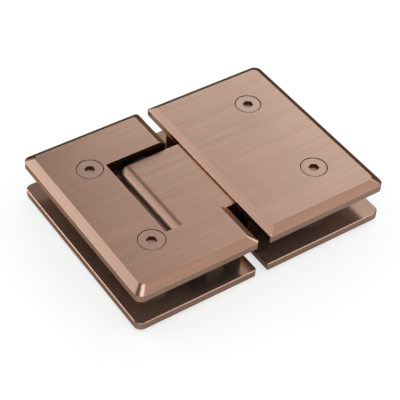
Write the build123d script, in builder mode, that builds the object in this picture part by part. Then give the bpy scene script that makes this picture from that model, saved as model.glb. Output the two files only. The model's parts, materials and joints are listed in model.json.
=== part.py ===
from build123d import *
import os

# Glass door hinge for two glass panels in one line, lying on its back plates.
# X runs from the left leaf to the right leaf, Y along the pivot pin, Z up from the back faces.
# The origin is the centre of the hinge, at the level of the back faces.

# Leaf plates
plate_height = 90.0
left_width = 55.5
right_width = 57.6
leaf_gap = 5.2
plate_thick = 5.6
bevel_width = 3.4
bevel_height = 2.2
outer_corner = 3.2
outer_face_corner = 2.4
arm_corner = 1.5
arm_face_corner = 0.8
pivot_side_corner = 0.5
pivot_side_face_corner = 0.4
edge_break = 0.3

# Notch in the left plates
notch_depth = 29.0
notch_width = 45.0
notch_corner = 0.5

# Glass slot and gaskets
glass_thick = 10.0
gasket_thick = 1.0
gasket_end_inset = 8.0
gasket_web = 4.0
gasket_notch_inset = 2.5
gasket_corner = 1.5
gasket_relief = 1.0

# Clamp screws
left_screw_inset = 19.4
right_screw_inset = 20.2
screw_pitch = 46.8
screw_radius = 3.0
screw_length = 20.0
screw_head_radius = 5.35
screw_head_land = 0.25
screw_head_recess = 0.1
screw_seat_play = 0.05
screw_hole_play = 0.3
screw_tip_chamfer = 0.6
socket_flats = 4.0
socket_depth = 2.7
socket_turn = -36.0
thread_play = 0.05

# Bosses for the clamp screws, and their sleeves
boss_radius = 5.2
boss_top_gap = 2.1
boss_floor = 2.0
sleeve_wall = 1.1
sleeve_play = 0.1
sleeve_top_gap = 1.2
sleeve_relief = 0.3

# Pivot pin
pin_setback = 12.5
pin_radius = 5.0
pin_end_recess = 0.5
pin_end_chamfer = 0.6
pin_flat_depth = 0.6
pin_flat_margin = 0.3
pin_seat_play = 0.02

# Lugs that carry the pin, and the screws that hold it there
lug_length = 12.0
lug_wall = 4.5
lug_setback = 0.4
lug_top_gap = 0.2
lug_corner = 2.0
pin_screw_radius = 2.5
pin_screw_length = 6.0
pin_screw_gap = 0.05
pin_screw_flat_depth = 0.4
pin_screw_flat_length = 6.0
pin_screw_socket_flats = 2.5
pin_screw_socket_depth = 2.5

# Pivot block
block_thick = 16.8
nose_gap = 3.1
nose_radius = 6.6
block_edge = 0.8
shoulder_gap = 0.1
flange_depth = 10.9
flange_width = 60.0
flange_top_gap = 0.2
bore_relief = 0.3

# Flanged bushes
bush_flange_thick = 1.4
bush_flange_radius = 7.4
bush_wall = 1.5
bush_length = 8.0
bush_seat_play = 0.02
bush_running_play = 0.05
bush_end_play = 0.2

# Springs, their plungers and tension screws
spring_bush_wall = 0.4
plunger_radius = 3.7
plunger_length = 7.0
plunger_play = 0.1
plunger_pin_gap = 0.08
spigot_radius = 1.9
spigot_length = 1.6
wire_width = 1.0
coil_radius = 2.9
coil_turns = 4.5
coil_end_gap = 0.1
tension_radius = 4.0
tension_length = 5.0
tension_recess = 0.5
tension_thread_run = 2.0
tension_socket_flats = 4.0
tension_socket_depth = 3.0

# Screws that hold the block on the right back plate
block_screw_end_inset = 6.0
block_screw_radius = 2.5
block_screw_head_radius = 4.25
block_screw_head_height = 5.0
block_screw_head_recess = 0.3
block_screw_length = 10.0
block_screw_play = 0.25
block_screw_socket_flats = 4.0
block_screw_socket_depth = 2.5
block_thread_floor = 1.6

# Places worked out from the sizes
total_width = left_width + leaf_gap + right_width
left_end = -total_width / 2
right_end = total_width / 2
arm_end = left_end + left_width
right_start = arm_end + leaf_gap
side_height = plate_thick - bevel_height
back_inner = plate_thick
front_inner = back_inner + glass_thick + 2 * gasket_thick
top_z = front_inner + plate_thick
mid_z = top_z / 2
notch_wall = arm_end - notch_depth
notch_half = notch_width / 2
left_screws = [(left_end + left_screw_inset, side * screw_pitch / 2) for side in (-1, 1)]
right_screws = [(right_end - right_screw_inset, side * screw_pitch / 2) for side in (-1, 1)]
boss_height = front_inner - boss_top_gap - back_inner
sleeve_inner = boss_radius + sleeve_play
sleeve_outer = sleeve_inner + sleeve_wall
gasket_half = screw_pitch / 2 + sleeve_outer + sleeve_relief + gasket_web
pin_x = arm_end - pin_setback
lug_end = notch_half + lug_length
lug_middle = notch_half + lug_length / 2
lug_start_x = pin_x - pin_radius - lug_wall
lug_stop_x = arm_end - lug_setback
pin_screw_start_x = pin_x + pin_radius - pin_screw_flat_depth + pin_screw_gap
block_half = notch_half - bush_flange_thick - bush_end_play
nose_x = notch_wall + nose_gap
shoulder_x = right_start - shoulder_gap
flange_stop_x = right_start + flange_depth
flange_half = flange_width / 2
flange_top = front_inner - flange_top_gap
bush_radius = pin_radius + bush_running_play + bush_wall
spring_bore_radius = plunger_radius + plunger_play
spring_middle = block_half - bush_length - spring_bush_wall - spring_bore_radius
plunger_start_x = pin_x + pin_radius + plunger_pin_gap
plunger_stop_x = plunger_start_x + plunger_length
tension_stop_x = flange_stop_x - tension_recess
tension_start_x = tension_stop_x - tension_length
tension_hole_start_x = tension_start_x - tension_thread_run
block_screw_x = (right_start + flange_stop_x) / 2
block_screw_middle = flange_half - block_screw_end_inset
block_screw_seat = flange_top - block_screw_head_recess - block_screw_head_height

front_plane = Plane(origin=(0, 0, front_inner), x_dir=(1, 0, 0), z_dir=(0, 0, 1))
back_plane = Plane(origin=(0, 0, back_inner), x_dir=(1, 0, 0), z_dir=(0, 0, -1))
sides = {"near": -1, "far": 1}
along_x = (0, 90, 0)
along_y = (90, 0, 0)

os.makedirs("parts", exist_ok=True)


def save(part, name):
    """Label a finished piece and write it under its name."""
    part.label = name
    export_step(part, f"parts/{name}.step")


def both_sides(x, y, z=0.0):
    """A place and its mirror image on the other side of the hinge's middle."""
    return [(x, -y, z), (x, y, z)]


def faces_at(part, height):
    """The flat faces of a part that lie level at a height."""
    return part.faces().filter_by(Axis.Z).filter_by_position(Axis.Z, height - 0.01, height + 0.01)


def in_notch(edge):
    """Whether an edge of a left plate lies on a wall of its notch."""
    middle = edge.center()
    return middle.X > notch_wall - 0.01 and abs(middle.Y) < notch_half + 0.01


def leaf_outline(start_x, stop_x, inset, start_corner, stop_corner):
    """A leaf's rectangle, drawn in from its edges, with rounded corners at each end."""
    with BuildSketch() as outline:
        with Locations(((start_x + stop_x) / 2, 0)):
            Rectangle(stop_x - start_x - 2 * inset, plate_height - 2 * inset)
        fillet(outline.vertices().group_by(Axis.X)[0], start_corner)
        fillet(outline.vertices().group_by(Axis.X)[-1], stop_corner)
    return outline.sketch


def plate_blank(inner_plane, start_x, stop_x, rim_corners, face_corners):
    """A plate from its inner face out: straight sides, then a wide bevel round the outer face."""
    rim = leaf_outline(start_x, stop_x, 0, *rim_corners)
    face = leaf_outline(start_x, stop_x, bevel_width, *face_corners)
    with BuildPart() as blank:
        with BuildSketch(inner_plane):
            add(rim)
        extrude(amount=side_height)
        with BuildSketch(inner_plane.offset(side_height)):
            add(rim)
        with BuildSketch(inner_plane.offset(plate_thick)):
            add(face)
        loft(ruled=True)
    return blank.part


def left_blank(inner_plane):
    """A left plate, cut open round the pivot block."""
    rim_corners = (outer_corner, arm_corner)
    face_corners = (outer_face_corner, arm_face_corner)
    with BuildPart() as plate:
        add(plate_blank(inner_plane, left_end, arm_end, rim_corners, face_corners))
        with BuildSketch(inner_plane) as notch:
            with Locations((notch_wall + notch_depth, 0)):
                Rectangle(2 * notch_depth, notch_width)
            fillet(notch.vertices().group_by(Axis.X)[0], notch_corner)
        extrude(amount=plate_thick, mode=Mode.SUBTRACT)
        outer_z = inner_plane.origin.Z + inner_plane.z_dir.Z * plate_thick
        chamfer(faces_at(plate, inner_plane.origin.Z).edges(), edge_break)
        chamfer(faces_at(plate, outer_z).edges().filter_by(in_notch), edge_break)
    return plate.part


def right_blank(inner_plane):
    """A right plate, with its sharper corners beside the pivot."""
    rim_corners = (pivot_side_corner, outer_corner)
    face_corners = (pivot_side_face_corner, outer_face_corner)
    with BuildPart() as plate:
        add(plate_blank(inner_plane, right_start, right_end, rim_corners, face_corners))
        chamfer(faces_at(plate, inner_plane.origin.Z).edges(), edge_break)
    return plate.part


def front_plate(blank, screws):
    """A front plate, countersunk for its clamp screws."""
    sink_radius = screw_head_radius + screw_head_land + screw_head_recess + screw_seat_play
    with BuildPart() as plate:
        add(blank)
        with Locations([(x, y, top_z) for x, y in screws]):
            CounterSinkHole(screw_radius + screw_hole_play, sink_radius, counter_sink_angle=90)
    return plate.part


def back_plate(blank, screws):
    """A back plate with a threaded boss for each clamp screw, cast in one piece."""
    with BuildPart() as plate:
        add(blank)
        with BuildSketch(Plane.XY.offset(back_inner)):
            with Locations(screws):
                Circle(boss_radius)
        extrude(amount=boss_height)
        boss_top = back_inner + boss_height
        with Locations([(x, y, boss_top) for x, y in screws]):
            Hole(screw_radius + thread_play, depth=boss_top - boss_floor)
    return plate.part


def hex_socket(plane, middle, flats, depth, turn=0.0):
    """A hexagon socket, as a solid to cut away, sunk below a plane."""
    with BuildPart() as socket:
        with BuildSketch(plane):
            with Locations(middle):
                RegularPolygon(flats / 2, 6, major_radius=False, rotation=turn)
        extrude(amount=-depth)
    return socket.part


# Front plates
save(front_plate(left_blank(front_plane), left_screws), "left_front_plate")
save(front_plate(right_blank(front_plane), right_screws), "right_front_plate")

# Left back plate, with the two lugs that carry the pin
with BuildPart() as left_back_plate:
    add(back_plate(left_blank(back_plane), left_screws))
    with BuildSketch(Plane.XY.offset(back_inner)) as lugs:
        with Locations(both_sides((lug_start_x + lug_stop_x) / 2, lug_middle)):
            Rectangle(lug_stop_x - lug_start_x, lug_length)
        fillet(lugs.vertices().group_by(Axis.X)[0], lug_corner)
    extrude(amount=front_inner - lug_top_gap - back_inner)
    with Locations((pin_x, 0, mid_z)):
        Cylinder(pin_radius + pin_seat_play, 2 * lug_end, rotation=along_y, mode=Mode.SUBTRACT)
    with Locations(both_sides((pin_x + arm_end) / 2, lug_middle, mid_z)):
        Cylinder(pin_screw_radius + thread_play, pin_setback, rotation=along_x, mode=Mode.SUBTRACT)
save(left_back_plate.part, "left_back_plate")

# Right back plate, threaded for the screws of the pivot block
with BuildPart() as right_back_plate:
    add(back_plate(right_blank(back_plane), right_screws))
    with Locations(both_sides(block_screw_x, block_screw_middle, back_inner)):
        Hole(block_screw_radius + thread_play, depth=back_inner - block_thread_floor)
save(right_back_plate.part, "right_back_plate")

# Pivot block: a knuckle in the notch, with a flange held in the right leaf's slot
with BuildPart() as pivot_block:
    with BuildSketch(Plane.XZ) as knuckle:
        with Locations(((nose_x + shoulder_x) / 2, mid_z)):
            Rectangle(shoulder_x - nose_x, block_thick)
        fillet(knuckle.vertices().group_by(Axis.X)[0], nose_radius)
    extrude(amount=block_half, both=True)
    end_edges = pivot_block.faces().filter_by(Axis.Y).edges()
    fillet(end_edges - end_edges.group_by(Axis.X)[-1], block_edge)
    with BuildSketch(Plane.XY.offset(back_inner)):
        with Locations(((right_start + flange_stop_x) / 2, 0)):
            Rectangle(flange_depth, flange_width)
        with Locations(((shoulder_x + right_start) / 2, 0)):
            Rectangle(shoulder_gap, 2 * block_half)
    extrude(amount=flange_top - back_inner)
    with Locations((pin_x, 0, mid_z)):
        Cylinder(pin_radius + bore_relief, 2 * block_half, rotation=along_y, mode=Mode.SUBTRACT)
    with Locations(both_sides(pin_x, block_half - bush_length / 2, mid_z)):
        Cylinder(bush_radius + bush_seat_play, bush_length, rotation=along_y, mode=Mode.SUBTRACT)
    with Locations(both_sides((pin_x + flange_stop_x) / 2, spring_middle, mid_z)):
        Cylinder(spring_bore_radius, flange_stop_x - pin_x, rotation=along_x, mode=Mode.SUBTRACT)
    with Locations(both_sides((tension_hole_start_x + flange_stop_x) / 2, spring_middle, mid_z)):
        thread_length = flange_stop_x - tension_hole_start_x
        Cylinder(tension_radius + thread_play, thread_length, rotation=along_x, mode=Mode.SUBTRACT)
    with Locations(both_sides(block_screw_x, block_screw_middle, flange_top)):
        CounterBoreHole(
            block_screw_radius + block_screw_play,
            block_screw_head_radius + block_screw_play,
            flange_top - block_screw_seat,
        )
save(pivot_block.part, "pivot_block")

# Pivot pin, with flats for the plungers where the door rests, and one for each lug's screw
with BuildPart() as pivot_pin:
    with Locations((pin_x, 0, mid_z)):
        Cylinder(pin_radius, 2 * (lug_end - pin_end_recess), rotation=along_y)
    chamfer(pivot_pin.edges().filter_by(GeomType.CIRCLE), pin_end_chamfer)
    reach = 2 * pin_radius - pin_flat_depth
    flat_length = 2 * (spring_middle + plunger_radius + pin_flat_margin)
    with Locations((pin_x + reach, 0, mid_z), (pin_x, 0, mid_z + reach), (pin_x, 0, mid_z - reach)):
        Box(2 * pin_radius, flat_length, 2 * pin_radius, mode=Mode.SUBTRACT)
    with Locations(both_sides(pin_x + 2 * pin_radius - pin_screw_flat_depth, lug_middle, mid_z)):
        Box(2 * pin_radius, pin_screw_flat_length, 2 * pin_radius, mode=Mode.SUBTRACT)
save(pivot_pin.part, "pivot_pin")

# Flanged bushes, pressed into the ends of the block
for side_name, side in sides.items():
    block_end = Plane(origin=(pin_x, side * block_half, mid_z), x_dir=(1, 0, 0), z_dir=(0, side, 0))
    with BuildPart() as bush:
        with BuildSketch(block_end):
            Circle(bush_flange_radius)
            Circle(pin_radius + bush_running_play, mode=Mode.SUBTRACT)
        extrude(amount=bush_flange_thick)
        with BuildSketch(block_end):
            Circle(bush_radius)
            Circle(pin_radius + bush_running_play, mode=Mode.SUBTRACT)
        extrude(amount=-bush_length)
    save(bush.part, f"{side_name}_bush")

# Plungers, springs of square wire and tension screws, along the two bores of the block
for side_name, side in sides.items():
    spring_y = side * spring_middle
    plunger_back = Plane(origin=(plunger_stop_x, spring_y, mid_z), x_dir=(0, 1, 0), z_dir=(1, 0, 0))
    with BuildPart() as plunger:
        with BuildSketch(plunger_back):
            Circle(plunger_radius)
        extrude(amount=-plunger_length)
        chamfer(plunger.edges(), edge_break)
        with BuildSketch(plunger_back):
            Circle(spigot_radius)
        extrude(amount=spigot_length)
    save(plunger.part, f"{side_name}_plunger")

    coil_start_x = plunger_stop_x + coil_end_gap + wire_width / 2
    coil_length = tension_start_x - coil_end_gap - wire_width / 2 - coil_start_x
    coil_centre = Vector(coil_start_x, spring_y, mid_z)
    with BuildPart() as spring:
        with BuildLine() as coil:
            Helix(
                coil_length / coil_turns,
                coil_length,
                coil_radius,
                center=coil_centre,
                direction=(1, 0, 0),
            )
        coil_end = coil.line @ 0
        with BuildSketch(Plane(origin=coil_end, x_dir=coil_end - coil_centre, z_dir=coil.line % 0)):
            Rectangle(wire_width, wire_width)
        sweep(is_frenet=True)
    save(spring.part, f"{side_name}_spring")

    tension_back = Plane(origin=(tension_stop_x, spring_y, mid_z), x_dir=(0, 1, 0), z_dir=(1, 0, 0))
    tension_socket = hex_socket(tension_back, (0, 0), tension_socket_flats, tension_socket_depth)
    with BuildPart() as tension_screw:
        with BuildSketch(tension_back):
            Circle(tension_radius)
        extrude(amount=-tension_length)
        chamfer(tension_screw.edges(), edge_break)
        add(tension_socket, mode=Mode.SUBTRACT)
    save(tension_screw.part, f"{side_name}_tension_screw")

# Grub screws that hold the pin in the lugs
for side_name, side in sides.items():
    pin_screw_back = Plane(
        origin=(pin_screw_start_x + pin_screw_length, side * lug_middle, mid_z),
        x_dir=(0, 1, 0),
        z_dir=(1, 0, 0),
    )
    pin_screw_socket = hex_socket(pin_screw_back, (0, 0), pin_screw_socket_flats, pin_screw_socket_depth)
    with BuildPart() as pin_screw:
        with BuildSketch(pin_screw_back):
            Circle(pin_screw_radius)
        extrude(amount=-pin_screw_length)
        chamfer(pin_screw.edges(), edge_break)
        add(pin_screw_socket, mode=Mode.SUBTRACT)
    save(pin_screw.part, f"{side_name}_pin_screw")

# Cap screws that hold the block on the right back plate
for side_name, side in sides.items():
    place = (block_screw_x, side * block_screw_middle)
    head_top = Plane.XY.offset(block_screw_seat + block_screw_head_height)
    with BuildPart() as block_screw:
        with BuildSketch(Plane.XY.offset(block_screw_seat)):
            with Locations(place):
                Circle(block_screw_head_radius)
        extrude(amount=block_screw_head_height)
        chamfer(block_screw.edges().group_by(Axis.Z)[-1], edge_break)
        with BuildSketch(Plane.XY.offset(block_screw_seat)):
            with Locations(place):
                Circle(block_screw_radius)
        extrude(amount=-block_screw_length)
        chamfer(block_screw.edges().group_by(Axis.Z)[0], edge_break)
        add(
            hex_socket(head_top, place, block_screw_socket_flats, block_screw_socket_depth),
            mode=Mode.SUBTRACT,
        )
    save(block_screw.part, f"{side_name}_block_screw")


def clamp_screw(x, y):
    """A countersunk clamp screw with a hexagon socket."""
    head_z = top_z - screw_head_recess
    with BuildPart() as screw:
        with BuildSketch(Plane.XZ):
            with BuildLine():
                Polyline(
                    (0, head_z),
                    (screw_head_radius, head_z),
                    (screw_head_radius, head_z - screw_head_land),
                    (screw_radius, head_z - screw_head_land - screw_head_radius + screw_radius),
                    (screw_radius, head_z - screw_length + screw_tip_chamfer),
                    (screw_radius - screw_tip_chamfer, head_z - screw_length),
                    (0, head_z - screw_length),
                    close=True,
                )
            make_face()
        revolve(axis=Axis.Z)
        add(
            hex_socket(Plane.XY.offset(head_z), (0, 0), socket_flats, socket_depth, socket_turn),
            mode=Mode.SUBTRACT,
        )
    return screw.part.moved(Location((x, y, 0)))


def screw_sleeve(x, y):
    """A plastic sleeve that keeps the glass off a boss."""
    with BuildPart() as sleeve:
        with BuildSketch(Plane.XY.offset(back_inner)):
            with Locations((x, y)):
                Circle(sleeve_outer)
                Circle(sleeve_inner, mode=Mode.SUBTRACT)
        extrude(amount=front_inner - sleeve_top_gap - back_inner)
    return sleeve.part


# Clamp screws and sleeves
for leaf_name, screws in {"left": left_screws, "right": right_screws}.items():
    for side_name, (x, y) in zip(sides, screws):
        save(clamp_screw(x, y), f"{leaf_name}_{side_name}_clamp_screw")
        save(screw_sleeve(x, y), f"{leaf_name}_{side_name}_sleeve")


def gasket_sheet(lowest, start_x, stop_x, screws):
    """A clear gasket sheet, cut away for the sleeves."""
    with BuildPart() as sheet:
        with BuildSketch(Plane.XY.offset(lowest)):
            with Locations(((start_x + stop_x) / 2, 0)):
                RectangleRounded(stop_x - start_x, 2 * gasket_half, gasket_corner)
            with Locations(screws):
                Circle(sleeve_outer + sleeve_relief, mode=Mode.SUBTRACT)
        extrude(amount=gasket_thick)
    return sheet.part


# Gaskets, on the inner faces of the plates, the left ones open round the notch
left_gasket_start_x = left_end + gasket_end_inset
left_gasket_stop_x = lug_start_x - gasket_relief
left_notch_x = notch_wall - gasket_notch_inset
right_gasket_start_x = flange_stop_x + gasket_relief
right_gasket_stop_x = right_end - gasket_end_inset
for face_name, lowest in {"back": back_inner, "front": front_inner - gasket_thick}.items():
    with BuildPart() as left_gasket:
        add(gasket_sheet(lowest, left_gasket_start_x, left_gasket_stop_x, left_screws))
        with BuildSketch(Plane.XY.offset(lowest)):
            with Locations((left_notch_x, 0)):
                notch_space = (notch_depth, notch_width + 2 * gasket_notch_inset)
                Rectangle(*notch_space, align=(Align.MIN, Align.CENTER))
        extrude(amount=gasket_thick, mode=Mode.SUBTRACT)
    save(left_gasket.part, f"left_{face_name}_gasket")
    right_gasket = gasket_sheet(lowest, right_gasket_start_x, right_gasket_stop_x, right_screws)
    save(right_gasket, f"right_{face_name}_gasket")
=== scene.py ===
import json
import math
import bpy
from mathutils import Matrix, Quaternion, Vector


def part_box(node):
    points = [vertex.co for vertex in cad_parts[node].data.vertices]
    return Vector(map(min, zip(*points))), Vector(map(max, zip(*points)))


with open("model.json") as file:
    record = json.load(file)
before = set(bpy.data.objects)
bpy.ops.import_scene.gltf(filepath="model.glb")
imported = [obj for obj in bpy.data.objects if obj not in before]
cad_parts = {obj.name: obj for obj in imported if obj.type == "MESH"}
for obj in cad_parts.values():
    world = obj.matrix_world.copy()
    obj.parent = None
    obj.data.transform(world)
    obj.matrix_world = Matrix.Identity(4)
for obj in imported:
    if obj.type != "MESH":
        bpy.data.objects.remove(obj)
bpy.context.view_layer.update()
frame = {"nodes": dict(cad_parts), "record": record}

# Brushed rose gold glass door hinge, lying on a pale floor in soft studio light
MM = 0.001
nodes = frame["nodes"]

# Places on the hinge that the finishes and the painted shade follow
NOSE_GAP = 3.1 * MM
NOTCH_HALF = 22.5 * MM
front_low, front_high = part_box("left_front_plate")
left_low, left_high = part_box("left_far_clamp_screw")
right_low, right_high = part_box("right_far_clamp_screw")
TOP_Z = front_high[2]
MID_Z = TOP_Z / 2
SLOT_HALF = front_low[2] - MID_Z
ARM_END = front_high[0]
RIGHT_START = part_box("right_front_plate")[0][0]
NOTCH_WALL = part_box("pivot_block")[0][0] - NOSE_GAP
LEFT_SCREW_X = (left_low[0] + left_high[0]) / 2
RIGHT_SCREW_X = (right_low[0] + right_high[0]) / 2
SCREW_PITCH = left_low[1] + left_high[1]
HEAD_TOP = left_high[2]
HEAD_RADIUS = (left_high[0] - left_low[0]) / 2


def direction(azimuth, elevation):
    """A unit vector: azimuth 0 is +Y and 90 is +X, and elevation is above the horizon, in degrees."""
    turn = math.radians(azimuth)
    rise = math.radians(elevation)
    return Vector((math.sin(turn) * math.cos(rise), math.cos(turn) * math.cos(rise), math.sin(rise)))


# Camera, at the photograph's viewing angle
CAMERA_AIM = Vector((-11.65, -15.0, 23.2)) * MM
CAMERA_DISTANCE = 530.3 * MM
CAMERA_AZIMUTH = 35.95
CAMERA_ELEVATION = 44.16
CAMERA_ROLL = 3.0
CAMERA_LENS = 120.1
CAMERA_CLIP = 10 * MM

look = direction(CAMERA_AZIMUTH, -CAMERA_ELEVATION)
upright = look.to_track_quat("-Z", "Y")
camera = bpy.data.objects.new("camera", bpy.data.cameras.new("camera"))
camera.data.lens = CAMERA_LENS
camera.data.clip_start = CAMERA_CLIP
camera.location = CAMERA_AIM - look * CAMERA_DISTANCE
camera.rotation_mode = "QUATERNION"
camera.rotation_quaternion = upright @ Quaternion((0, 0, 1), math.radians(CAMERA_ROLL))
bpy.context.scene.collection.objects.link(camera)
bpy.context.scene.camera = camera

# Edges are softened by this radius, and fine relief is this deep
EDGE_RADIUS = 0.3 * MM
EDGE_SAMPLES = 6
METAL_RELIEF = 0.02 * MM
NYLON_RELIEF = 0.03 * MM


class Graph:
    """A material's node tree, with short calls to add nodes and links."""

    def __init__(self, name):
        self.material = bpy.data.materials.new(name)
        self.material.use_nodes = True
        self.tree = self.material.node_tree
        self.tree.nodes.clear()

    def add(self, kind, inputs=None, **settings):
        node = self.tree.nodes.new(kind)
        for key, value in settings.items():
            setattr(node, key, value)
        for key, value in (inputs or {}).items():
            if isinstance(value, bpy.types.NodeSocket):
                self.tree.links.new(value, node.inputs[key])
            else:
                node.inputs[key].default_value = value
        return node

    def math(self, operation, *values, clamp=False):
        node = self.add("ShaderNodeMath", dict(enumerate(values)), operation=operation, use_clamp=clamp)
        return node.outputs[0]

    def vector(self, operation, *values):
        node = self.add("ShaderNodeVectorMath", dict(enumerate(values)), operation=operation)
        return node.outputs["Vector"]

    def mix(self, factor, first, second, data_type="FLOAT"):
        first_input, second_input = {"FLOAT": (2, 3), "VECTOR": (4, 5), "RGBA": (6, 7)}[data_type]
        node = self.add("ShaderNodeMix", {0: factor, first_input: first, second_input: second},
                        data_type=data_type)
        return node.outputs[{"FLOAT": 0, "VECTOR": 1, "RGBA": 2}[data_type]]

    def noise(self, coordinates, scale, detail, roughness):
        node = self.add("ShaderNodeTexNoise", {"Vector": coordinates, "Scale": scale, "Detail": detail,
                                               "Roughness": roughness})
        return node.outputs["Fac"]

    def to_world(self, vector):
        return self.add("ShaderNodeVectorTransform", {0: vector}, vector_type="VECTOR",
                        convert_from="OBJECT", convert_to="WORLD").outputs[0]

    def ramp(self, value, start, stop):
        """A value that rises from 0 at the start to 1 at the stop."""
        return self.math("DIVIDE", self.math("SUBTRACT", value, start), stop - start, clamp=True)

    def vary(self, value, share, base):
        """The base plus a share of a value."""
        return self.math("MULTIPLY_ADD", value, share, base)

    def within(self, value, reach):
        """1 where a value lies less than the reach from 0 on either side."""
        return self.math("LESS_THAN", self.math("ABSOLUTE", value), reach)

    def from_screw(self, place):
        """The vector from the nearest clamp screw's axis, level."""
        x, y = self.add("ShaderNodeSeparateXYZ", {0: place}).outputs[0:2]
        axis_x = self.mix(self.math("GREATER_THAN", x, 0.0), LEFT_SCREW_X, RIGHT_SCREW_X)
        axis_y = self.math("MULTIPLY", self.math("SIGN", y), SCREW_PITCH / 2)
        out_x = self.math("SUBTRACT", x, axis_x)
        out_y = self.math("SUBTRACT", y, axis_y)
        return self.add("ShaderNodeCombineXYZ", {0: out_x, 1: out_y}).outputs[0]

    def length(self, vector):
        return self.add("ShaderNodeVectorMath", {0: vector}, operation="LENGTH").outputs["Value"]

    def tones(self, factor, colour, darker, lighter):
        """A colour that runs between a darker and a lighter tone of itself."""
        dark, light = [tuple(min(1.0, c * gain) for c in colour) + (1.0,) for gain in (darker, lighter)]
        return self.mix(factor, dark, light, "RGBA")

    def soft_edge(self):
        """A normal that rounds the sharp edges a little."""
        return self.add("ShaderNodeBevel", {"Radius": EDGE_RADIUS}, samples=EDGE_SAMPLES).outputs[0]

    def relief(self, height, strength, depth, **normal):
        """A normal that follows a fine relief."""
        inputs = {"Height": height, "Strength": strength, "Distance": depth, **normal}
        return self.add("ShaderNodeBump", inputs).outputs[0]

    def cover(self, shader, mask, over):
        """A shader with another laid over it where the mask is 1."""
        return self.add("ShaderNodeMixShader", {0: mask, 1: shader.outputs[0], 2: over.outputs[0]})

    def finish(self, shader):
        output = self.add("ShaderNodeOutputMaterial")
        self.tree.links.new(shader.outputs[0], output.inputs["Surface"])
        return self.material


# Brush marks: noise cells per metre along them and across them, and each noise's share of the tone
FINE_ALONG = 26.0
FINE_ACROSS = 1900.0
STREAK_ALONG = 9.0
STREAK_ACROSS = 420.0
CLOUD_CELLS = 38.0
FINE_SHARE = 0.35
STREAK_SHARE = 0.45
CLOUD_SHARE = 0.2
# A face whose normal leans this far to the left or right is brushed along Y
SIDE_FACING = 0.35
NOISE_MIDDLE = 0.5
# The warm tone of the plating where it is seen at a grazing angle
GRAZING_TINT = (0.72, 0.56, 0.46, 1.0)


def brush_noise(graph, place, sideways, along, across, detail, roughness):
    """Noise drawn out along X, or along Y on the faces that look left or right."""
    marks_x = graph.vector("MULTIPLY", place, (along, across, across))
    marks_y = graph.vector("MULTIPLY", place, (across, along, across))
    return graph.noise(graph.mix(sideways, marks_x, marks_y, "VECTOR"), 1.0, detail, roughness)


def brushed_metal(name, colour, roughness, anisotropy):
    """Metal brushed along X, and along Y on the faces that look left or right."""
    graph = Graph(name)
    coordinates = graph.add("ShaderNodeTexCoord")
    place = coordinates.outputs["Object"]
    facing = graph.add("ShaderNodeSeparateXYZ", {0: coordinates.outputs["Normal"]}).outputs["X"]
    sideways = graph.math("GREATER_THAN", graph.math("ABSOLUTE", facing), SIDE_FACING)
    fine = brush_noise(graph, place, sideways, FINE_ALONG, FINE_ACROSS, detail=4.0, roughness=0.65)
    streak = brush_noise(graph, place, sideways, STREAK_ALONG, STREAK_ACROSS, detail=3.0, roughness=0.6)
    cloud = graph.noise(place, CLOUD_CELLS, detail=3.0, roughness=0.5)
    across = graph.mix(sideways, (0.0, 1.0, 0.0), (1.0, 0.0, 0.0), "VECTOR")
    even = graph.vary(cloud, CLOUD_SHARE, graph.math("MULTIPLY", fine, FINE_SHARE))
    blend = graph.vary(streak, STREAK_SHARE, even)
    rough = graph.vary(graph.math("SUBTRACT", fine, NOISE_MIDDLE), share=0.08, base=roughness)
    shader = graph.add("ShaderNodeBsdfPrincipled", {
        "Base Color": graph.tones(blend, colour, darker=0.74, lighter=1.26),
        "Metallic": 1.0,
        "Roughness": rough,
        "Anisotropic": anisotropy,
        "Tangent": graph.to_world(across),
        "Normal": graph.relief(fine, strength=0.07, depth=METAL_RELIEF, Normal=graph.soft_edge()),
        "Specular Tint": GRAZING_TINT,
    })
    return graph, shader


def painted_shade_metal(graph, mottle, colour, roughness, metallic=1.0):
    """A shader for unbrushed metal in a painted shade colour, with a mottle."""
    return graph.add("ShaderNodeBsdfPrincipled", {
        "Base Color": graph.tones(mottle, colour, darker=0.85, lighter=1.15),
        "Metallic": metallic,
        "Roughness": graph.vary(mottle, share=0.08, base=roughness),
        "Specular Tint": GRAZING_TINT,
    })


# Slack of the masks, so that a face or a wall lies wholly inside its mask
FACE_SLACK = 0.02 * MM
WALL_SLACK = 0.03 * MM
STEP_SLACK = 0.05 * MM
# The brushing reaches this far down over the notch's rim, where painted shade starts, and a ring of painted
# shade reaches this far out from a screw's head
NOTCH_RIM = 0.12 * MM
HEAD_SHADE_RING = 0.38 * MM
MOTTLE_CELLS = 60.0


def brushed_block(name, colour, roughness, anisotropy, painted_shade_colour):
    """The pivot block: brushed where it shows in the notch, and painted dark on its flange as the shade in
    the gaps beside it.
    """
    graph, shader = brushed_metal(name, colour, roughness, anisotropy)
    place = graph.add("ShaderNodeTexCoord").outputs["Object"]
    x = graph.add("ShaderNodeSeparateXYZ", {0: place}).outputs["X"]
    on_flange = graph.math("GREATER_THAN", x, RIGHT_START - STEP_SLACK)
    mottle = graph.noise(place, MOTTLE_CELLS, detail=3.0, roughness=0.5)
    # The flange is painted dark: painted shade in the gaps between the leaves
    flange = painted_shade_metal(graph, mottle, painted_shade_colour, roughness=0.3)
    return graph.finish(graph.cover(shader, on_flange, flange))


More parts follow.
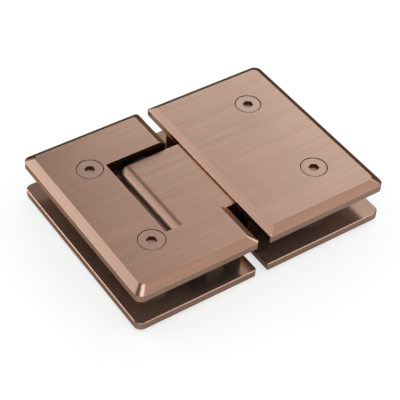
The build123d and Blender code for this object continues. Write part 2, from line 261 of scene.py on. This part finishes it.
def brushed_plate(name, colour, roughness, anisotropy, floor_shade_colour, ceiling_shade_colour, painted_shade_colour):
    """Brushed metal. In the glass slot it has a smooth floor and a matte ceiling, in darker colours that
    paint the slot's shade. Painted shade also covers the notch walls, the slot beside the block and a ring
    round each countersunk head.
    """
    graph, shader = brushed_metal(name, colour, roughness, anisotropy)
    place = graph.add("ShaderNodeTexCoord").outputs["Object"]
    x, y, z = graph.add("ShaderNodeSeparateXYZ", {0: place}).outputs[0:3]
    mottle = graph.noise(place, MOTTLE_CELLS, detail=3.0, roughness=0.5)

    # The slot: its floor, the rest of it up to its ceiling, and the space between the two
    above_middle = graph.math("SUBTRACT", z, MID_Z)
    on_floor = graph.math("COMPARE", above_middle, -SLOT_HALF, FACE_SLACK)
    on_ceiling = graph.math("COMPARE", above_middle, 2 * FACE_SLACK, SLOT_HALF - FACE_SLACK)
    in_slot = graph.within(above_middle, SLOT_HALF - FACE_SLACK)

    # The front plates: a ring of painted shade round each countersunk head, and painted shade on the walls
    # of the notch
    on_front = graph.math("GREATER_THAN", above_middle, SLOT_HALF + STEP_SLACK)
    from_head = graph.math("SUBTRACT", graph.length(graph.from_screw(place)), HEAD_RADIUS)
    screw_ring_shade = graph.math("MULTIPLY", on_front, graph.math("LESS_THAN", from_head, HEAD_SHADE_RING))
    notch_middle = (NOTCH_WALL + ARM_END) / 2
    notch_reach = (ARM_END - NOTCH_WALL) / 2 + WALL_SLACK
    past_wall = graph.math("COMPARE", x, notch_middle, notch_reach)
    between_arms = graph.within(y, NOTCH_HALF + WALL_SLACK)
    below_top = graph.math("LESS_THAN", z, TOP_Z - NOTCH_RIM)
    on_wall = graph.math("MULTIPLY", graph.math("MULTIPLY", on_front, below_top), between_arms)
    # Painted shade beside the pivot block: on the walls of the notch and in the slot
    block_gap_shade = graph.math("MULTIPLY", past_wall, graph.math("MAXIMUM", in_slot, on_wall))

    # In the slot, colours darker than the plating paint its shade: on the smooth floor and on the matte
    # ceiling
    floor = painted_shade_metal(graph, mottle, floor_shade_colour, roughness=0.11, metallic=0.86)
    ceiling = graph.add("ShaderNodeBsdfPrincipled", {
        "Base Color": graph.tones(mottle, ceiling_shade_colour, darker=0.9, lighter=1.1),
        "Roughness": 0.8,
        "Specular IOR Level": 0.1,
    })
    # Painted shade, near black, for the notch, the slot beside the block and the rings round the heads
    dark = painted_shade_metal(graph, mottle, painted_shade_colour, roughness=0.4)
    shader = graph.cover(shader, on_floor, floor)
    shader = graph.cover(shader, on_ceiling, ceiling)
    shader = graph.cover(shader, graph.math("MAXIMUM", screw_ring_shade, block_gap_shade), dark)
    return graph.finish(shader)


# Clamp screws: depths below the head's face, and the socket's painted colours: painted shade on its walls
# and painted light on its floor
SOCKET_RIM = (0.1 * MM, 0.3 * MM)
SOCKET_BOTTOM = (1.9 * MM, 2.6 * MM)
SHANK_DEPTH = 4.0 * MM
PAINTED_SOCKET_SHADE = (0.060, 0.030, 0.022)
PAINTED_SOCKET_LIGHT = (0.62, 0.39, 0.30)
SOCKET_ROUGHNESS = 0.5


def turned_screw(name, colour, roughness):
    """A screw head with fine rings round its axis, and a socket with painted shade on its walls and painted
    light on its floor.
    """
    graph = Graph(name)
    place = graph.add("ShaderNodeTexCoord").outputs["Object"]
    z = graph.add("ShaderNodeSeparateXYZ", {0: place}).outputs["Z"]
    out = graph.from_screw(place)
    ring_place = graph.add("ShaderNodeCombineXYZ", {0: graph.length(out)}).outputs[0]
    rings = graph.noise(ring_place, scale=1500.0, detail=3.0, roughness=0.6)
    mottle = graph.noise(place, scale=900.0, detail=3.0, roughness=0.6)

    depth = graph.math("SUBTRACT", HEAD_TOP, z)
    above_shank = graph.math("LESS_THAN", depth, SHANK_DEPTH)
    sunk = graph.math("MULTIPLY", graph.ramp(depth, *SOCKET_RIM), above_shank)
    plated = graph.tones(rings, colour, darker=0.92, lighter=1.07)
    # Painted shade on the socket's walls, and painted light on its floor
    wall = graph.tones(mottle, PAINTED_SOCKET_SHADE, darker=0.7, lighter=1.3)
    floor = graph.tones(mottle, PAINTED_SOCKET_LIGHT, darker=0.8, lighter=1.2)
    bare = graph.mix(graph.ramp(depth, *SOCKET_BOTTOM), wall, floor, "RGBA")
    shader = graph.add("ShaderNodeBsdfPrincipled", {
        "Base Color": graph.mix(sunk, plated, bare, "RGBA"),
        "Metallic": graph.math("SUBTRACT", 1.0, sunk),
        "Roughness": graph.mix(sunk, graph.vary(rings, share=0.1, base=roughness), SOCKET_ROUGHNESS),
        "Specular IOR Level": 0.1,
        "Anisotropic": 0.35,
        "Tangent": graph.to_world(out),
        "Normal": graph.relief(rings, strength=0.1, depth=METAL_RELIEF, Normal=graph.soft_edge()),
    })
    return graph.finish(shader)


def machined_steel(name, colour, roughness):
    """Bright steel with a fine even grain."""
    graph = Graph(name)
    place = graph.add("ShaderNodeTexCoord").outputs["Object"]
    grain = graph.noise(place, scale=2400.0, detail=3.0, roughness=0.6)
    shader = graph.add("ShaderNodeBsdfPrincipled", {
        "Base Color": graph.tones(grain, colour, darker=0.9, lighter=1.06),
        "Metallic": 1.0,
        "Roughness": graph.vary(grain, share=0.14, base=roughness),
        "Normal": graph.relief(grain, strength=0.1, depth=METAL_RELIEF),
    })
    return graph.finish(shader)


def moulded_nylon(name, colour, roughness, clear):
    """Nylon with a faint mottle and a fine moulded texture, which can let part of the light through."""
    graph = Graph(name)
    place = graph.add("ShaderNodeTexCoord").outputs["Object"]
    mottle = graph.noise(place, scale=300.0, detail=4.0, roughness=0.6)
    fine = graph.noise(place, scale=3000.0, detail=2.0, roughness=0.5)
    shader = graph.add("ShaderNodeBsdfPrincipled", {
        "Base Color": graph.tones(mottle, colour, darker=0.92, lighter=1.05),
        "Roughness": graph.vary(fine, share=0.15, base=roughness),
        "Subsurface Weight": 0.1,
        "Subsurface Scale": 1.0 * MM,
        "Normal": graph.relief(fine, strength=0.2, depth=NYLON_RELIEF),
        "Alpha": 1.0 - clear,
        "Specular IOR Level": 0.2,
    })
    return graph.finish(shader)


SHEET_TINT = (0.97, 0.97, 0.97, 1.0)
SHEET_WHITE = (0.85, 0.86, 0.86, 1.0)


def clear_sheet(name):
    """A thin clear gasket: nearly all light passes, with a soft sheen."""
    graph = Graph(name)
    place = graph.add("ShaderNodeTexCoord").outputs["Object"]
    haze = graph.noise(place, scale=500.0, detail=3.0, roughness=0.5)
    clear = graph.add("ShaderNodeBsdfTransparent", {"Color": SHEET_TINT})
    sheen = graph.add("ShaderNodeBsdfPrincipled", {
        "Base Color": SHEET_WHITE,
        "Roughness": graph.vary(haze, share=0.2, base=0.35),
        "Normal": graph.add("ShaderNodeNewGeometry").outputs["True Normal"],
    })
    return graph.finish(graph.cover(clear, graph.vary(haze, share=0.04, base=0.03), sheen))


# Colours of the finishes and of the painted shade, as linear red, green and blue
ROSE_GOLD = (0.42, 0.252, 0.194)
# Darker copies of the plating for the slot's floor and ceiling: painted shade
SLOT_FLOOR_SHADE = (0.35, 0.215, 0.165)
SLOT_CEILING_SHADE = (0.26, 0.195, 0.166)
# Painted shade in the notch, round the heads and on the block's flange
PAINTED_SHADE = (0.045, 0.028, 0.021)
STEEL = (0.3, 0.29, 0.28)
SLEEVE_WHITE = (0.78, 0.78, 0.75)
BUSH_BLACK = (0.022, 0.017, 0.015)
PLATING_ROUGHNESS = 0.24
BRUSHED_ANISOTROPY = 0.6

finishes = {
    "rose_gold_plate": brushed_plate("rose_gold_plate", ROSE_GOLD, PLATING_ROUGHNESS, BRUSHED_ANISOTROPY,
                                     SLOT_FLOOR_SHADE, SLOT_CEILING_SHADE, PAINTED_SHADE),
    "rose_gold_screw": turned_screw("rose_gold_screw", ROSE_GOLD, PLATING_ROUGHNESS),
    "steel": machined_steel("steel", STEEL, roughness=0.32),
    "sleeve_nylon": moulded_nylon("sleeve_nylon", SLEEVE_WHITE, roughness=0.45, clear=0.6),
    "bush_nylon": moulded_nylon("bush_nylon", BUSH_BLACK, roughness=0.45, clear=0.0),
    "clear_gasket": clear_sheet("clear_gasket"),
}
block_finish = brushed_block("rose_gold_block", ROSE_GOLD, PLATING_ROUGHNESS, BRUSHED_ANISOTROPY, PAINTED_SHADE)
for subpart in frame["record"]["subparts"]:
    mesh = nodes[subpart["node"]].data
    mesh.materials.clear()
    is_block = subpart["node"] == "pivot_block"
    mesh.materials.append(block_finish if is_block else finishes[subpart["material_slot"]])

# The clear gaskets shrink a hair, so that they share no face with the plates behind them
GASKET_SHRINK = 0.03 * MM
for name, node in nodes.items():
    if name.endswith("gasket"):
        shrink = node.modifiers.new("shrink", "DISPLACE")
        shrink.mid_level = 0.0
        shrink.strength = -GASKET_SHRINK


def square(name, corners, material):
    """A flat four-cornered sheet that belongs to the studio."""
    mesh = bpy.data.meshes.new(name)
    mesh.from_pydata([tuple(corner) for corner in corners], [], [(0, 1, 2, 3)])
    mesh.materials.append(material)
    sheet = bpy.data.objects.new(name, mesh)
    bpy.context.scene.collection.objects.link(sheet)
    return sheet


def matte(name, colour, glow=0.0):
    """A plain matte studio surface with a faint mottle, and a share of its white that needs no light."""
    graph = Graph(name)
    place = graph.add("ShaderNodeTexCoord").outputs["Object"]
    mottle = graph.noise(place, scale=20.0, detail=3.0, roughness=0.5)
    paint = graph.add("ShaderNodeBsdfPrincipled", {
        "Base Color": graph.tones(mottle, colour, darker=0.995, lighter=1.0),
        "Roughness": 0.9,
        "Specular IOR Level": 0.0,
    })
    ray = graph.add("ShaderNodeLightPath").outputs
    mirrored = graph.math("MAXIMUM", ray["Is Glossy Ray"], ray["Is Transmission Ray"])
    seen = graph.math("MAXIMUM", ray["Is Camera Ray"], mirrored)
    white = graph.add("ShaderNodeEmission", {"Color": (1.0, 1.0, 1.0, 1.0), "Strength": 1.0})
    return graph.finish(graph.cover(paint, graph.math("MULTIPLY", seen, glow), white))


# Floor
FLOOR_REACH = 3.0
FLOOR_WHITE = (0.99, 0.95, 0.945)
FLOOR_GLOW = 0.66
floor_corners = [Vector((x, y, 0)) * FLOOR_REACH for x, y in ((-1, -1), (1, -1), (1, 1), (-1, 1))]
square("floor", floor_corners, matte("floor", FLOOR_WHITE, FLOOR_GLOW))

# Lamps: the far ones show in the top faces, the others in the bevels, the sides and the near left corner
LAMP_DISTANCE = 1.2


def softbox(name, azimuth, elevation, width, height, radiance, colour=(1.0, 1.0, 1.0)):
    """A soft lamp that faces the hinge. Its sizes are angles seen from the hinge, in degrees."""
    lamp = bpy.data.lights.new(name, "AREA")
    lamp.shape = "RECTANGLE"
    lamp.size = 2 * LAMP_DISTANCE * math.tan(math.radians(width) / 2)
    lamp.size_y = 2 * LAMP_DISTANCE * math.tan(math.radians(height) / 2)
    lamp.energy = radiance * lamp.size * lamp.size_y * math.pi
    lamp.color = colour
    holder = bpy.data.objects.new(name, lamp)
    toward = direction(azimuth, elevation)
    holder.location = toward * LAMP_DISTANCE
    holder.rotation_mode = "QUATERNION"
    holder.rotation_quaternion = (-toward).to_track_quat("-Z", "Y")
    holder.visible_camera = False
    bpy.context.scene.collection.objects.link(holder)


softbox("lamp_far_low", azimuth=45, elevation=25.5, width=70, height=22, radiance=2.38,
        colour=(0.67, 0.94, 1.0))
softbox("lamp_far", azimuth=40, elevation=46, width=22, height=24, radiance=0.5)
softbox("lamp_far_right", azimuth=62, elevation=44, width=26, height=26, radiance=0.62,
        colour=(0.72, 0.93, 1.0))
softbox("lamp_right", azimuth=88, elevation=36, width=14, height=36, radiance=2.8,
        colour=(0.76, 0.95, 1.0))
softbox("lamp_left_low", azimuth=-37, elevation=28, width=44, height=18, radiance=1.7,
        colour=(0.8, 0.96, 1.0))
softbox("lamp_left_high", azimuth=-37, elevation=50, width=44, height=26, radiance=0.85,
        colour=(0.9, 0.97, 1.0))
softbox("lamp_left_strip", azimuth=-38, elevation=11, width=44, height=10, radiance=7.0)
softbox("lamp_front_right", azimuth=134, elevation=56, width=46, height=36, radiance=0.5,
        colour=(1.0, 0.9, 0.82))
softbox("lamp_front_low", azimuth=146, elevation=26, width=50, height=24, radiance=2.0,
        colour=(0.85, 0.97, 1.0))
softbox("lamp_key", azimuth=-145, elevation=64, width=30, height=44, radiance=2.9,
        colour=(0.78, 0.96, 1.0))

# World
WORLD_LIGHT = 0.36
WORLD_COLOUR = (1.0, 0.93, 0.86, 1.0)
world = bpy.data.worlds.new("world")
world.use_nodes = True
background = world.node_tree.nodes["Background"]
background.inputs["Color"].default_value = WORLD_COLOUR
background.inputs["Strength"].default_value = WORLD_LIGHT
bpy.context.scene.world = world


def card(name, corners, material):
    """A card outside the camera's sight, which shows only in the metal."""
    sheet = square(name, corners, material)
    sheet.visible_camera = False
    sheet.visible_shadow = False
    sheet.visible_diffuse = False


def standing_card(name, azimuth, distance, width, height, material):
    """A card that stands on the floor and faces the hinge."""
    outward = direction(azimuth, 0)
    along = outward.cross(Vector((0, 0, 1))) * width / 2
    bottom = outward * distance
    top = bottom + Vector((0, 0, height))
    card(name, [bottom - along, bottom + along, top + along, top - along], material)


def high_card(name, azimuth, elevation, distance, width, height, material):
    """A card in the air that faces the hinge."""
    toward = direction(azimuth, elevation)
    along = toward.cross(Vector((0, 0, 1))).normalized()
    up = along.cross(toward) * height / 2
    along = along * width / 2
    bottom = toward * distance - up
    top = toward * distance + up
    card(name, [bottom - along, bottom + along, top + along, top - along], material)


CARD_LIFT = 0.2 * MM


def ground_card(name, start_x, start_y, stop_x, stop_y, material):
    """A card that lies just above the floor."""
    card(name, [(start_x, start_y, CARD_LIFT), (stop_x, start_y, CARD_LIFT),
                (stop_x, stop_y, CARD_LIFT), (start_x, stop_y, CARD_LIFT)], material)


# Cards: brown ones darken the far and right bevels and a stripe of the near left corner
CARD_BROWN = (0.15, 0.098, 0.074)
CARD_GREY = (0.66, 0.66, 0.66)
brown = matte("brown_card", CARD_BROWN)
grey = matte("grey_card", CARD_GREY)
CARD_REACH = 400 * MM
FAR_CARD_START = 62 * MM
RIGHT_CARD_START = 80 * MM
standing_card("flag_far", azimuth=20, distance=115 * MM, width=330 * MM, height=55 * MM, material=brown)
standing_card("flag_right", azimuth=90, distance=135 * MM, width=260 * MM, height=70 * MM, material=brown)
high_card("card_left_high", azimuth=-88, elevation=57, distance=600 * MM, width=300 * MM,
          height=360 * MM, material=brown)
ground_card("ground_far", -CARD_REACH, FAR_CARD_START, CARD_REACH, CARD_REACH, brown)
ground_card("ground_right", RIGHT_CARD_START, -CARD_REACH, CARD_REACH, FAR_CARD_START, brown)
ground_card("ground_near", -CARD_REACH, -CARD_REACH, RIGHT_CARD_START, FAR_CARD_START, grey)

scene = bpy.context.scene
scene.view_settings.view_transform = "Standard"
